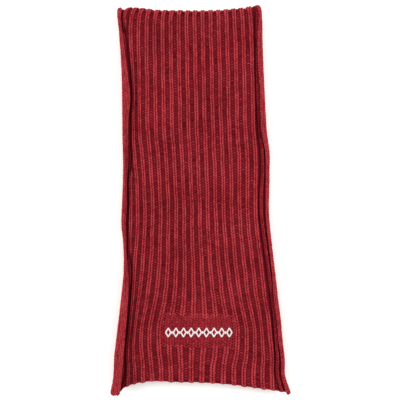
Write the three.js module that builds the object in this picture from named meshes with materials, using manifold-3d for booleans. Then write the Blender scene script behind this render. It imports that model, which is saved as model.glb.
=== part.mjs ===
// A chunky ribbed knit scarf, folded twice and laid flat with its hem towards -Y. The top leaf
// shows: its ribs run along Y, its side edges curl up and over, it has one plain-knit patch near
// the hem, and at the far end it turns over the fold. Under it lie the three hidden layers.
// Millimetres, +Z up. The origin is on the surface that the scarf rests on, in the middle of it.
import * as THREE from "three";
import { mergeVertices } from "three/addons/utils/BufferGeometryUtils.js";
import Module from "manifold-3d";

const wasm = await Module();
wasm.setup();

// The knit, in ribs counted from the middle rib: whole numbers are raised wales
const RIB_PITCH = 10.4;
const LEFT_SELVEDGE = -11;
const RIGHT_SELVEDGE = 9.5;
const OUTER_RIB = 7;
const WALL = 2.4;
const RIB_RISE = 1.6;
const CREST_HALF = 0.2;
const FOOT_HALF = 0.34;

// The stack: three hidden layers under the leaf, and the turn over the fold at the far end
const LAYER_THICK = 4.4;
const LAYER_STEP = 4.1;
const HIDDEN_TOP = 2 * LAYER_STEP + LAYER_THICK;
const SEAM_GAP = 0.3;
const LEAF_BACK = HIDDEN_TOP + SEAM_GAP;
const TURN_INNER = (LEAF_BACK - LAYER_STEP - 0.1) / 2;
const TURN_HEIGHT = LEAF_BACK - TURN_INNER;
const TURN_OUTER = TURN_INNER + WALL + RIB_RISE;

// The flat stretch of the leaf, hem to fold, and the plain patch in it
const FLAT_LENGTH = 478;
const PATCH = { left: -3.5, right: 2.5, from: 51, to: 85, fade: 4, rise: 0.55 };
const HEM_LIP = 4;
const FLAT_SECTIONS = 17;
const TURN_SECTIONS = 8;

// The curled edges: least radius, radius as a share of the strip that shows, and the fades
const LEAST_CURL = 3;
const CURL_SHARE = 0.58;
const CURL_CLEAR = 5;
const BACK_RIB_RISE = 1.1;
const BACK_RIB_FROM = THREE.MathUtils.degToRad(40);
const BACK_RIB_FULL = THREE.MathUtils.degToRad(90);
const PRESSED_FROM = FLAT_LENGTH - 14;
const PRESSED_AT = FLAT_LENGTH + 11;
const PRESSED_WRAP = THREE.MathUtils.degToRad(60);

// One row for each station: how far it is up from the hem, then across: the scarf's two edges,
// how wide each curled strip shows, the places of ribs -7, 0 and 7, and the spread by the patch
const STATIONS = table(
  ["up", "leftEdge", "leftStrip", "leftRib", "middleRib", "rightRib", "rightStrip", "rightEdge", "spread"],
  [
    [0, -117.4, 13.5, -84.5, 1.3, 92.3, 5.5, 117.6, 2.6],
    [22, -112.8, 11.7, -84.9, 1.6, 92.3, 4.8, 109.6, 3.5],
    [48, -111.4, 13, -85.8, 3.5, 91.4, 5.6, 108.2, 6],
    [75, -108.2, 11.7, -83.2, 4.3, 90, 5.5, 104.8, 7.2],
    [110, -104, 10.8, -79.3, 4.6, 84.5, 6.5, 100.8, 2.2],
    [150, -99.7, 7.2, -75.1, 2.3, 80, 6.1, 97.8, 0.3],
    [195, -100.5, 6.5, -72.5, 0.3, 74.1, 4.3, 90.2, 0],
    [215, -102.4, 7.2, -71.7, -0.3, 71.9, 4.3, 88.7, 0],
    [240, -101.4, 7.8, -71.5, -0.7, 71.5, 4.6, 88.9, 0],
    [290, -100.1, 8.8, -75, -2.6, 71.5, 5.9, 90.2, 0],
    [335, -101.1, 9.5, -79.3, -4.2, 68.6, 7.8, 86.1, 0],
    [385, -101.4, 10.8, -79.3, -5.5, 67, 9.5, 83.7, 0],
    [435, -104, 6.9, -80.2, -6.5, 65.7, 9.1, 81.5, 0],
    [478, -107.9, 6.8, -77.7, -6.5, 64.1, 7.8, 79.7, 0],
  ],
);

// The hem and the far fold are not straight: how far along Y each lies, from rib to rib
const ENDS = table(
  ["rib", "hem", "fold"],
  [
    [-10.5, -253, 245.7],
    [-9.6, -251.6, 247.2],
    [-8.5, -243.1, 249.1],
    [-7, -238.3, 249],
    [-5, -235.4, 246.7],
    [-2, -236, 245.7],
    [0, -236.7, 245.6],
    [3, -240.2, 246.5],
    [5, -244, 248.2],
    [7, -246.7, 251.2],
    [8.2, -247.6, 251],
    [9.5, -252, 247.7],
  ],
);

// The hidden layers, lowest first: how far each is set in from the leaf's edges and ends
const HIDDEN_LAYERS = table(
  ["leftInset", "rightInset", "hemInset", "foldInset"],
  [
    [4.5, 5, 8, 1.8],
    [3.4, 4, 8, 1.4],
    [5, 3.2, 4.5, 1.4],
  ],
);
const LAYERS_LEFT = -109;
const LAYERS_RIGHT = 107;
const LAYERS_NEAR = -246;
const LAYER_SECTIONS = 16;
const LAYER_ACROSS = 14;
const QUARTER = [18, 54].map(THREE.MathUtils.degToRad);
const BAR_SIDES = 12;
const HEM_FOLD_RADIUS = (LAYER_STEP + LAYER_THICK) / 2;
const INNER_FOLD_RADIUS = TURN_INNER - SEAM_GAP - 0.15;
const FOLD_SETBACK = 0.8;

const KNIT_RED = new THREE.MeshStandardMaterial({ color: 0xa8262f, roughness: 0.9, metalness: 0 });
const SHADED_RED = new THREE.MeshStandardMaterial({ color: 0x8c1d28, roughness: 0.92, metalness: 0 });

function table(columns, rows) {
  return rows.map((row) => Object.fromEntries(columns.map((name, i) => [name, row[i]])));
}

// Reads every column of a table at a place, along a smooth curve through its rows
function readTable(rows, key, at) {
  const last = rows.length - 1;
  const place = THREE.MathUtils.clamp(at, rows[0][key], rows[last][key]);
  let i = rows.findIndex((row) => row[key] >= place) - 1;
  i = THREE.MathUtils.clamp(i, 0, last - 1);
  const span = rows[i + 1][key] - rows[i][key];
  const t = (place - rows[i][key]) / span;
  const slope = (n, name) => {
    const before = rows[Math.max(n - 1, 0)];
    const after = rows[Math.min(n + 1, last)];
    return ((after[name] - before[name]) / (after[key] - before[key])) * span;
  };
  const read = {};
  for (const name of Object.keys(rows[0])) {
    const a = rows[i][name];
    const b = rows[i + 1][name];
    const rise = slope(i, name) * (t ** 3 - 2 * t ** 2 + t) + slope(i + 1, name) * (t ** 3 - t ** 2);
    read[name] = a + (b - a) * (3 * t ** 2 - 2 * t ** 3) + rise;
  }
  return read;
}

function ease(value, from, to) {
  return THREE.MathUtils.smoothstep(value, from, to);
}

// How one side edge curls at a station: side is -1 on the left and 1 on the right, and pressed
// goes from 0 on the flat leaf to 1 where the turn over the fold has pressed the curl down
function curlAt(edge, strip, outerRibX, side, pressed) {
  const full = Math.max(LEAST_CURL, strip * CURL_SHARE);
  const overTop = Math.asin(THREE.MathUtils.clamp(strip / full - 1, 0, 1));
  const radius = THREE.MathUtils.lerp(full, LEAST_CURL, pressed);
  const start = edge - side * radius;
  return {
    side,
    radius,
    start,
    startRib: side * OUTER_RIB + (start - outerRibX) / RIB_PITCH,
    endRib: side < 0 ? LEFT_SELVEDGE : RIGHT_SELVEDGE,
    wrap: THREE.MathUtils.lerp(Math.PI + overTop, PRESSED_WRAP, pressed),
  };
}

function stationAt(along) {
  const row = readTable(STATIONS, "up", Math.min(along, FLAT_LENGTH));
  const turned = Math.max(0, along - FLAT_LENGTH) / (TURN_INNER + WALL);
  const pressed = ease(along, PRESSED_FROM, PRESSED_AT);
  return {
    ...row,
    along,
    turned,
    left: curlAt(row.leftEdge, row.leftStrip, row.leftRib, -1, pressed),
    right: curlAt(row.rightEdge, row.rightStrip, row.rightRib, 1, pressed),
  };
}

// Where a rib lies across the flat field of the leaf
function acrossAt(station, rib) {
  const side = rib < 0 ? -1 : 1;
  const outer = side < 0 ? station.leftRib : station.rightRib;
  const inside = Math.min(Math.abs(rib), OUTER_RIB) / OUTER_RIB;
  const beyond = Math.max(Math.abs(rib) - OUTER_RIB, 0) * side * RIB_PITCH;
  const fromPatch = rib - (PATCH.left + PATCH.right) / 2;
  const pushed = Math.abs(fromPatch) < OUTER_RIB ? Math.sin((Math.PI * fromPatch) / OUTER_RIB) : 0;
  return station.middleRib + (outer - station.middleRib) * inside + beyond + station.spread * pushed;
}

// 1 on a raised wale, 0 in the valley between two, from a whole number of ribs
function raised(rib) {
  const off = Math.abs(rib - Math.round(rib));
  return THREE.MathUtils.clamp((FOOT_HALF - off) / (FOOT_HALF - CREST_HALF), 0, 1);
}

// How far the front face stands above the leaf's back
function frontHeight(station, rib) {
  const room = Math.min(rib - station.left.startRib, station.right.startRib - rib) * RIB_PITCH;
  const clear = ease(room, 0, CURL_CLEAR);
  const inPatch =
    ease(station.along, PATCH.from - PATCH.fade, PATCH.from) *
    (1 - ease(station.along, PATCH.to, PATCH.to + PATCH.fade)) *
    (rib > PATCH.left && rib < PATCH.right ? 1 : 0);
  return WALL + RIB_RISE * clear * THREE.MathUtils.lerp(raised(rib), PATCH.rise, inPatch);
}

// How far the back face stands below its plain level: the back's ribs show on the curled edges
function backHeight(station, rib) {
  const curl = rib < 0 ? station.left : station.right;
  const share = (rib - curl.startRib) / (curl.endRib - curl.startRib);
  const shown = ease(Math.max(share, 0) * curl.wrap, BACK_RIB_FROM, BACK_RIB_FULL);
  return -BACK_RIB_RISE * shown * raised(rib + 0.5);
}

// A point of the leaf: its rib, its station, and its height above the plain back
function leafPoint(station, rib, height) {
  let x = acrossAt(station, rib);
  let lift = height;
  for (const curl of [station.left, station.right]) {
    const share = (rib - curl.startRib) / (curl.endRib - curl.startRib);
    if (share > 0) {
      const reach = curl.radius - height;
      x = curl.start + curl.side * reach * Math.sin(share * curl.wrap);
      lift = curl.radius - reach * Math.cos(share * curl.wrap);
    }
  }
  const ends = readTable(ENDS, "rib", rib);
  const turnY = ends.fold - TURN_OUTER;
  const flatShare = Math.min(station.along, FLAT_LENGTH) / FLAT_LENGTH;
  const y = THREE.MathUtils.lerp(ends.hem, turnY, flatShare);
  if (station.turned === 0) return [x, y, LEAF_BACK + lift];
  const out = TURN_INNER + lift;
  return [x, y + out * Math.sin(station.turned), TURN_HEIGHT + out * Math.cos(station.turned)];
}

// Ribs at which the section's outline has a point: even steps on the curls, four to a raised wale
function steps(from, to, count) {
  return Array.from({ length: count + 1 }, (_, i) => from + ((to - from) * i) / count);
}
const CURL_STEPS = { left: steps(LEFT_SELVEDGE, -8.5, 10), right: steps(7.9, RIGHT_SELVEDGE, 8) };
const WALE_SHAPE = [-FOOT_HALF, -CREST_HALF, CREST_HALF, FOOT_HALF];
const WALES = steps(-8, 7, 15).flatMap((rib) => WALE_SHAPE.map((off) => rib + off));
const FRONT_RIBS = [...CURL_STEPS.left, ...WALES, ...CURL_STEPS.right];
const BACK_RIBS = [...CURL_STEPS.left, ...steps(-7, 7, 7), ...CURL_STEPS.right];

function leafSection(along) {
  const station = stationAt(along);
  return [
    ...FRONT_RIBS.map((rib) => leafPoint(station, rib, frontHeight(station, rib))),
    ...BACK_RIBS.map((rib) => leafPoint(station, rib, backHeight(station, rib))).reverse(),
  ];
}

// A closed body through rings with equal numbers of points. Each ring runs out along its front
// and home along its back, and the two lists say how far across each of those points lies
function loft(rings, front, back) {
  const size = front.length + back.length;
  const index = [];
  for (let r = 0; r + 1 < rings.length; r++) {
    for (let i = 0; i < size; i++) {
      const a = r * size + i;
      const b = r * size + ((i + 1) % size);
      index.push(a, b, a + size, b, b + size, a + size);
    }
  }
  const base = (rings.length - 1) * size;
  endTriangles(front, back).forEach(([a, b, c]) => {
    index.push(a, c, b);
    index.push(base + a, base + b, base + c);
  });
  const geometry = new THREE.BufferGeometry();
  geometry.setAttribute("position", new THREE.Float32BufferAttribute(rings.flat(2), 3));
  geometry.setIndex(index);
  return geometry;
}

// Fills a ring with a strip between its front and its back, turning the same way as its points
function endTriangles(front, back) {
  const last = front.length + back.length - 1;
  const faces = [];
  let i = 0;
  let j = 0;
  while (i < front.length - 1 || j < back.length - 1) {
    const frontNext = i < front.length - 1 ? front[i + 1] : Infinity;
    const backNext = j < back.length - 1 ? back[j + 1] : Infinity;
    if (frontNext <= backNext) {
      faces.push([i, i + 1, last - j]);
      i += 1;
    } else {
      faces.push([i, last - j - 1, last - j]);
      j += 1;
    }
  }
  return faces;
}

function solidOf(geometry) {
  const merged = mergeVertices(geometry, 1e-4);
  const solid = new wasm.Manifold(
    new wasm.Mesh({
      numProp: 3,
      vertProperties: new Float32Array(merged.attributes.position.array),
      triVerts: new Uint32Array(merged.index.array),
    }),
  );
  return solid;
}

function geometryOf(solid) {
  const mesh = solid.getMesh();
  const geometry = new THREE.BufferGeometry();
  geometry.setAttribute("position", new THREE.BufferAttribute(mesh.vertProperties, 3));
  geometry.setIndex(new THREE.BufferAttribute(mesh.triVerts, 1));
  return geometry;
}

// Where a hidden layer lies: share 0 to 1 across it and along it
function layerPlace(layer, across, along) {
  const station = stationAt(along * FLAT_LENGTH);
  const edge = LAYER_THICK / 2;
  const left = Math.max(station.leftEdge, LAYERS_LEFT) + layer.leftInset + edge;
  const right = Math.min(station.rightEdge, LAYERS_RIGHT) - layer.rightInset - edge;
  const leftmost = (left - station.leftRib) / RIB_PITCH - OUTER_RIB;
  const rightmost = (right - station.rightRib) / RIB_PITCH + OUTER_RIB;
  const rib = THREE.MathUtils.lerp(leftmost, rightmost, across);
  const ends = readTable(ENDS, "rib", rib);
  const near = Math.max(ends.hem, LAYERS_NEAR) + layer.hemInset;
  const far = ends.fold - TURN_OUTER - layer.foldInset;
  return { x: acrossAt(station, rib), y: THREE.MathUtils.lerp(near, far, along) };
}

// A layer's section: flat above and below, with half-round side edges
function layerSection(layer, level, along) {
  const half = LAYER_THICK / 2;
  const point = (across, turn) => {
    const { x, y } = layerPlace(layer, across, along);
    return [x + half * Math.sin(turn), y, level + half * Math.cos(turn)];
  };
  return [
    ...QUARTER.map((turn) => point(0, turn - Math.PI / 2)),
    ...steps(0, 1, LAYER_ACROSS).map((across) => point(across, 0)),
    ...QUARTER.map((turn) => point(1, Math.PI / 2 - turn)).reverse(),
    ...QUARTER.map((turn) => point(1, turn + Math.PI / 2)),
    ...steps(1, 0, LAYER_ACROSS).map((across) => point(across, Math.PI)),
    ...QUARTER.map((turn) => point(0, (3 * Math.PI) / 2 - turn)).reverse(),
  ];
}

function layerSlab(layer, level) {
  const rings = steps(0, 1, LAYER_SECTIONS).map((along) => layerSection(layer, level, along));
  const across = rings[0].slice(rings[0].length / 2).map((_, i) => i);
  return loft(rings, across, across);
}

// The round of a fold between two hidden layers, run across the scarf
function foldRound(layer, along, radius, level, shift) {
  const rings = steps(0, 1, LAYER_ACROSS).map((across) => {
    const { x, y } = layerPlace(layer, across, along);
    return steps(0, 2 * Math.PI, BAR_SIDES)
      .slice(0, -1)
      .map((turn) => [x, y + shift - radius * Math.sin(turn), level + radius * Math.cos(turn)]);
  });
  const across = steps(0, 1, BAR_SIDES / 2 - 1);
  return loft(rings, across, across);
}

// The leaf's sections: closer near the hem and by the patch, then even, then round the turn
function leaf() {
  const nearHem = [0, HEM_LIP, ...steps(HEM_LIP, PATCH.from - PATCH.fade, 3).slice(1)];
  const byPatch = [...steps(PATCH.from, PATCH.to, 2), PATCH.to + PATCH.fade];
  const onward = steps(PATCH.to + PATCH.fade, FLAT_LENGTH, FLAT_SECTIONS).slice(1);
  const round = steps(0, Math.PI, TURN_SECTIONS).slice(1);
  const turned = round.map((angle) => FLAT_LENGTH + angle * (TURN_INNER + WALL));
  return loft([...nearHem, ...byPatch, ...onward, ...turned].map(leafSection), FRONT_RIBS, BACK_RIBS);
}

function hiddenLayers() {
  const levels = HIDDEN_LAYERS.map((_, i) => LAYER_THICK / 2 + i * LAYER_STEP);
  const slabs = HIDDEN_LAYERS.map((layer, i) => layerSlab(layer, levels[i]));
  const hemFold = foldRound(HIDDEN_LAYERS[1], 0, HEM_FOLD_RADIUS, HEM_FOLD_RADIUS, FOLD_SETBACK);
  const innerLevel = (levels[1] + levels[2]) / 2;
  const innerFold = foldRound(HIDDEN_LAYERS[2], 1, INNER_FOLD_RADIUS, innerLevel, -FOLD_SETBACK);
  const solids = [...slabs, hemFold, innerFold].map(solidOf);
  return geometryOf(solids.reduce((whole, solid) => whole.add(solid)));
}

const scarf = new THREE.Group();
for (const [name, geometry, material] of [
  ["front_leaf", leaf(), KNIT_RED],
  ["hidden_layers", hiddenLayers(), SHADED_RED],
]) {
  const mesh = new THREE.Mesh(geometry, material);
  mesh.name = name;
  scarf.add(mesh);
}

export default scarf;
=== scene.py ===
# %% [markdown]
# # A chunky ribbed knit scarf, folded twice and laid flat
# A scarf like this is one long piece of knitting. The lesson builds it as a knitter would read it:
# first the form of the cloth, then the yarn on it, stitch by stitch, and last the embroidery.

import math

import bpy
import numpy as np
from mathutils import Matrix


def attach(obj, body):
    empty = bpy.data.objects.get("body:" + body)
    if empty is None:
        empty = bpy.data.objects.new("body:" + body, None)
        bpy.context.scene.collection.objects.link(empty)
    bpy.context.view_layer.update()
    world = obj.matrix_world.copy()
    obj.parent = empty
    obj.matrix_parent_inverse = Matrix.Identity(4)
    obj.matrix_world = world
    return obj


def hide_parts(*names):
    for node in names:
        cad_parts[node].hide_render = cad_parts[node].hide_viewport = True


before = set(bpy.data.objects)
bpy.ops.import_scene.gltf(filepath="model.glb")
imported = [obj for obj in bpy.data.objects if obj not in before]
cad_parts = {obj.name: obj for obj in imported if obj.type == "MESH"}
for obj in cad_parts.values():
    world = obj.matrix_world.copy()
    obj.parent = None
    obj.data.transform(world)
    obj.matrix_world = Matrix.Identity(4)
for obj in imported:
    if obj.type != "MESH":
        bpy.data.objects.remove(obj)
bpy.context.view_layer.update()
print("nodes of the frame:", sorted(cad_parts))

# %% [markdown]
# ## Camera
# The picture looks straight down at the scarf, so the camera hangs high above it with a long
# lens, which keeps the sides of the folded stack out of sight. One pixel is 1.3 mm at the height
# of the cloth, and the middle of the picture is half a pixel below the origin.

# %% Camera
PIXEL = 0.0013
FRAME_PIXELS = 400
CLOTH_TOP = 0.0165
CAMERA_HEIGHT = 2.6
SENSOR = 36.0

bpy.ops.object.camera_add(location=(0, -0.5 * PIXEL, CAMERA_HEIGHT), rotation=(0, 0, 0))
camera = bpy.context.object
camera.data.sensor_width = SENSOR
camera.data.lens = SENSOR * (CAMERA_HEIGHT - CLOTH_TOP) / (FRAME_PIXELS * PIXEL)
bpy.context.scene.camera = camera
print("lens, mm:", round(camera.data.lens, 1))

# %% [markdown]
# ## Helpers for materials
# Every finish is built from nodes. One small function adds a node, sets its properties and fills
# or links its inputs, and another turns a screen colour into the linear values Blender mixes.

# %% Node and colour helpers
def add_node(tree, kind, inputs=None, **settings):
    made = tree.nodes.new(kind)
    for name, value in settings.items():
        setattr(made, name, value)
    for name, value in (inputs or {}).items():
        if isinstance(value, bpy.types.NodeSocket):
            tree.links.new(value, made.inputs[name])
        else:
            made.inputs[name].default_value = value
    return made


def linear(hex_colour):
    values = [int(hex_colour[i : i + 2], 16) / 255 for i in (1, 3, 5)]
    mixed = [v / 12.92 if v <= 0.04045 else ((v + 0.055) / 1.055) ** 2.4 for v in values]
    return (*mixed, 1.0)


def new_material(name):
    material = bpy.data.materials.new(name)
    material.use_nodes = True
    material.node_tree.nodes.clear()
    return material, material.node_tree


# %% [markdown]
# ## Floor and light
# The scarf lies on white paper that glows a little, so that hardly a shadow shows. It is lit by
# two soft boxes, one at each side, and by a white room all round. Light from the sides is what a
# knit wants: it strikes the flanks of the ribs, leaves the valleys in shade, and does not reach
# the bottom of the gap beside a curled edge.

# %% Floor, lights and room
FLOOR_SIZE = 9.0
BOX_PLACES = [(-1.55, 0.45, 1.2), (1.55, 0.45, 1.2)]
BOX_SIZE = (1.1, 1.7)
BOX_POWER = 22.0
ROOM_LIGHT = 0.85
FLOOR_GLOW = 0.15

paper, tree = new_material("white_backdrop_paper")
surface = add_node(
    tree,
    "ShaderNodeBsdfPrincipled",
    {
        "Base Color": linear("#FBFAF8"),
        "Roughness": 0.85,
        "Specular IOR Level": 0.2,
        "Emission Color": linear("#FFFFFF"),
        "Emission Strength": FLOOR_GLOW,
    },
)
add_node(tree, "ShaderNodeOutputMaterial", {"Surface": surface.outputs["BSDF"]})

bpy.ops.mesh.primitive_plane_add(size=FLOOR_SIZE, location=(0, 0, 0))
floor = bpy.context.object
floor.name = "backdrop"
floor.data.materials.append(paper)

for x, y, z in BOX_PLACES:
    tilt = math.atan2(math.hypot(x, y), z)
    heading = math.atan2(y, x) + math.pi / 2
    bpy.ops.object.light_add(type="AREA", location=(x, y, z), rotation=(tilt, 0, heading))
    soft_box = bpy.context.object.data
    soft_box.shape = "RECTANGLE"
    soft_box.size, soft_box.size_y = BOX_SIZE[1], BOX_SIZE[0]
    soft_box.energy = BOX_POWER
    print("soft box at", (x, y, z), "m, tilted", round(math.degrees(tilt)), "degrees")

room = bpy.data.worlds.new("white_room")
room.use_nodes = True
room.node_tree.nodes["Background"].inputs["Color"].default_value = (1.0, 0.99, 0.98, 1.0)
room.node_tree.nodes["Background"].inputs["Strength"].default_value = ROOM_LIGHT
bpy.context.scene.world = room
bpy.context.scene.view_settings.view_transform = "Standard"

# %% [markdown]
# ## The measures of the knit
# The scarf is a one-by-one rib: a column of knit stitches stands up as a rib, and the column of
# purl stitches beside it sinks into a valley. So everything across the cloth is counted in ribs
# from the middle rib, and everything along it in millimetres up from the hem. Each row of the
# first three tables is a station on the real scarf, because its edges wander, its ribs spread
# round the plain patch and its selvedges roll up more in one place than in another. strip is how
# wide a curl looks, gap how far in from the edge the dark gap beside it runs, fade how far the
# gap's dip and its painted shade reach over the leaf, and dim how much painted shade the left curl
# gets where it leans out of the light. rib is where the seventh rib lies, pitch how close those
# beyond it are, and spread how far the patch pushes the ribs apart. The last table says, rib by
# rib, where the hem and the fold lie, because neither is straight.

# %% Tables of the leaf, in millimetres
RIB_PITCH = 10.4
ROW = 3.45
LEFT_SELVEDGE = -11
RIGHT_SELVEDGE = 9.5
OUTER_RIB = 7
FLAT_LENGTH = 478


def table(names, rows):
    """A small table with named columns, as one array for each name."""
    return {name: np.array(column, float) for name, column in zip(names.split(), zip(*rows))}


LEFT_EDGE = table(
    "up left_edge left_strip left_gap left_fade left_dim left_pitch left_rib",
    [
        [0, -117.0, 13.8, 14.4, 6.5, 0, 9.2, -84.5],
        [22, -112.8, 11.7, 14.2, 6.5, 0, 8.5, -84.9],
        [48, -111.4, 13.0, 13.9, 6.5, 0, 8.5, -85.8],
        [75, -108.2, 11.7, 13.2, 6.5, 0, 8.5, -83.2],
        [110, -104.0, 10.8, 11.7, 5.5, 0, 8.7, -79.3],
        [150, -99.7, 7.2, 10.8, 3.2, 0.4, 10.2, -75.1],
        [178, -99.4, 4.6, 5.8, 2.6, 1, 9.8, -73.2],
        [195, -100.5, 5.6, 6.8, 2.4, 0.8, 9.4, -72.5],
        [215, -102.4, 6.6, 8.0, 2.4, 0.6, 9.4, -71.7],
        [242, -101.4, 7.2, 8.8, 2.4, 0.8, 9.2, -72.1],
        [268, -100.4, 6.0, 7.4, 2.8, 1, 9.2, -73.5],
        [294, -100.1, 7.4, 10.6, 3.0, 1, 9.7, -75.3],
        [320, -100.8, 8.2, 9.6, 3.4, 0.5, 8.5, -78.0],
        [346, -101.1, 8.6, 9.8, 3.6, 0, 7.8, -79.3],
        [372, -101.3, 11.4, 12.6, 3.4, 0, 7.7, -79.3],
        [399, -101.9, 9.2, 10.9, 3.4, 0, 8.0, -79.4],
        [425, -103.2, 7.0, 9.0, 3.0, 0, 9.0, -80.0],
        [444, -104.6, 5.8, 8.8, 2.8, 0, 9.6, -80.3],
        [464, -106.3, 5.2, 6.0, 2.4, 0, 10.2, -79.8],
        [478, -107.9, 6.0, 6.8, 2.2, 0, 9.6, -78.5],
        [490, -107.6, 9.0, 10.0, 2.2, 0, 8.6, -73.6],
    ],
)
MIDDLE = table(
    "up middle_rib spread",
    [
        [0, 1.3, 2.6],
        [22, 1.6, 3.5],
        [48, 3.5, 6.0],
        [75, 4.3, 7.2],
        [110, 4.6, 2.2],
        [150, 2.3, 0.3],
        [195, 0.3, 0],
        [240, -0.7, 0],
        [290, -2.6, 0],
        [335, -4.2, 0],
        [385, -5.5, 0],
        [435, -6.5, 0],
        [478, -7.2, 0],
        [490, -5.9, 0],
    ],
)
RIGHT_EDGE = table(
    "up right_rib right_fade right_gap right_strip right_edge",
    [
        [0, 95.2, 3.0, 15.0, 7.6, 119.2],
        [8, 94.2, 3.0, 14.4, 6.2, 115.6],
        [22, 93.5, 3.0, 13.0, 5.4, 110.8],
        [41, 94.0, 2.8, 12.4, 5.6, 110.4],
        [67, 91.8, 2.8, 11.2, 6.0, 107.4],
        [93, 88.6, 2.8, 10.8, 6.2, 105.0],
        [119, 84.3, 2.6, 10.6, 6.2, 101.6],
        [145, 81.3, 2.6, 11.2, 5.2, 98.7],
        [184, 76.3, 2.6, 11.9, 4.9, 94.0],
        [223, 72.3, 2.6, 12.8, 5.2, 90.0],
        [249, 72.0, 2.6, 13.0, 5.4, 90.1],
        [275, 72.6, 2.6, 11.7, 5.6, 90.5],
        [301, 71.9, 2.6, 12.2, 6.2, 90.4],
        [327, 69.9, 2.6, 11.8, 7.4, 87.0],
        [353, 69.0, 2.6, 11.6, 7.6, 85.4],
        [379, 68.6, 2.4, 11.4, 6.8, 84.0],
        [405, 68.2, 2.4, 10.9, 7.4, 82.8],
        [431, 67.5, 2.4, 9.8, 7.4, 81.7],
        [450, 66.6, 2.2, 9.6, 7.0, 81.3],
        [470, 65.8, 2.2, 9.3, 5.2, 80.9],
        [483, 64.4, 2.2, 8.8, 5.4, 79.3],
        [490, 62.6, 2.2, 9.8, 9.4, 74.8],
    ],
)
ENDS = table(
    "rib hem fold",
    [
        [-10.5, -253.4, 248.7],
        [-9.6, -252.6, 249.3],
        [-8.5, -244.8, 250.1],
        [-7, -239.6, 249.2],
        [-5, -236.5, 246.9],
        [-2, -237.6, 246.5],
        [0, -238.0, 246.2],
        [3, -241.2, 247.0],
        [5, -244.8, 248.6],
        [7, -248.2, 250.8],
        [7.6, -249.1, 254.0],
        [8.2, -250.0, 254.8],
        [9.5, -253.2, 251.8],
    ],
)
print("stations on the left edge:", len(LEFT_EDGE["up"]), "and on the right:", len(RIGHT_EDGE["up"]))


# %% Reading the tables
def read_table(rows, at):
    """Every column of a table at the places given, on a smooth curve through its rows."""
    knots = next(iter(rows.values()))
    last = len(knots) - 1
    place = np.clip(at, knots[0], knots[-1])
    i = np.clip(np.searchsorted(knots, place) - 1, 0, last - 1)
    span = knots[i + 1] - knots[i]
    t = (place - knots[i]) / span
    before = np.maximum(np.arange(last + 1) - 1, 0)
    after = np.minimum(np.arange(last + 1) + 1, last)
    read = {}
    for name, values in rows.items():
        slope = (values[after] - values[before]) / (knots[after] - knots[before])
        bend = slope[i] * (t**3 - 2 * t**2 + t) + slope[i + 1] * (t**3 - t**2)
        read[name] = values[i] + (values[i + 1] - values[i]) * (3 * t**2 - 2 * t**3) + bend * span
    return read


def station(along):
    """All that the tables say about the leaf at a place along it."""
    row = {}
    for rows in (LEFT_EDGE, MIDDLE, RIGHT_EDGE):
        row.update(read_table(rows, along))
    return row


def ease(value, start, end):
    """0 up to the start, 1 from the end on, and a smooth rise between them."""
    t = np.clip((value - start) / (end - start), 0, 1)
    return t * t * (3 - 2 * t)


# %% [markdown]
# ## The form of the leaf
# The leaf is one surface: flat in the middle, rolled up into a curl at each side edge, and turned
# down over the fold at the far end, where the curls flatten. One function gives the place of any
# point from its rib, how far along it is and its height above the back of the cloth. The cloth
# and each stitch are put in place by that same function, so the yarn follows every drift of the
# ribs and goes round the fold as real yarn does.

# %% The surface of the leaf
LAYER_THICK = 4.4
LAYER_STEP = 4.1
SEAM_GAP, TURN_CLEARANCE = 0.3, 0.1
LEAF_BACK = 2 * LAYER_STEP + LAYER_THICK + SEAM_GAP
WALL, LEAF_THICK = 2.4, 4.0
TURN_INNER = (LEAF_BACK - LAYER_STEP - TURN_CLEARANCE) / 2
TURN_HEIGHT = LEAF_BACK - TURN_INNER
TURN_OUTER = TURN_INNER + LEAF_THICK
TURN_MIDDLE = TURN_INNER + WALL
print("radius of the fold, inside and outside, mm:", round(TURN_INNER, 2), round(TURN_OUTER, 2))

LEAST_CURL = 3
CURL_SHARE = 0.58
PRESSED_FROM, PRESSED_AT = FLAT_LENGTH + 5, FLAT_LENGTH + 19
PRESSED_WRAP = math.radians(60)
SQUEEZED_FROM, SQUEEZED_AT, SQUEEZE = FLAT_LENGTH - 14, FLAT_LENGTH + 8, 0.32
SPREAD_MIDDLE = -0.5


def side_name(side):
    return "left_" if side < 0 else "right_"


def curl_of(row, along, side):
    """The curl at one edge: its radius, where it starts, the ribs at its ends, and its wrap."""
    edge, strip, outer = (row[side_name(side) + part] for part in ("edge", "strip", "rib"))
    pressed = ease(along, PRESSED_FROM, PRESSED_AT)
    full = np.maximum(LEAST_CURL, strip * CURL_SHARE)
    over_top = np.arcsin(np.clip(strip / full - 1, 0, 1))
    radius = full + (LEAST_CURL - full) * pressed
    start = edge - side * radius
    start_rib = side * OUTER_RIB + (start - outer) / outer_pitch(row, side)
    end_rib = LEFT_SELVEDGE if side < 0 else RIGHT_SELVEDGE
    wrap = (math.pi + over_top) * (1 - pressed) + PRESSED_WRAP * pressed
    return radius, start, start_rib, end_rib, wrap


def outer_pitch(row, side):
    """The spacing of the ribs beyond the seventh, which crowd together beside the left curl."""
    return row["left_pitch"] if side < 0 else RIB_PITCH


def across_field(row, rib):
    """Where a rib lies from side to side on the flat, in millimetres."""
    outer = np.where(rib < 0, row["left_rib"], row["right_rib"])
    pitch = np.where(rib < 0, outer_pitch(row, -1), RIB_PITCH)
    inside = np.minimum(np.abs(rib), OUTER_RIB) / OUTER_RIB
    beyond = np.maximum(np.abs(rib) - OUTER_RIB, 0) * np.sign(rib) * pitch
    from_patch = rib - SPREAD_MIDDLE
    pushed = np.where(np.abs(from_patch) < OUTER_RIB, np.sin(math.pi * from_patch / OUTER_RIB), 0)
    return row["middle_rib"] + (outer - row["middle_rib"]) * inside + beyond + row["spread"] * pushed


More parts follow.
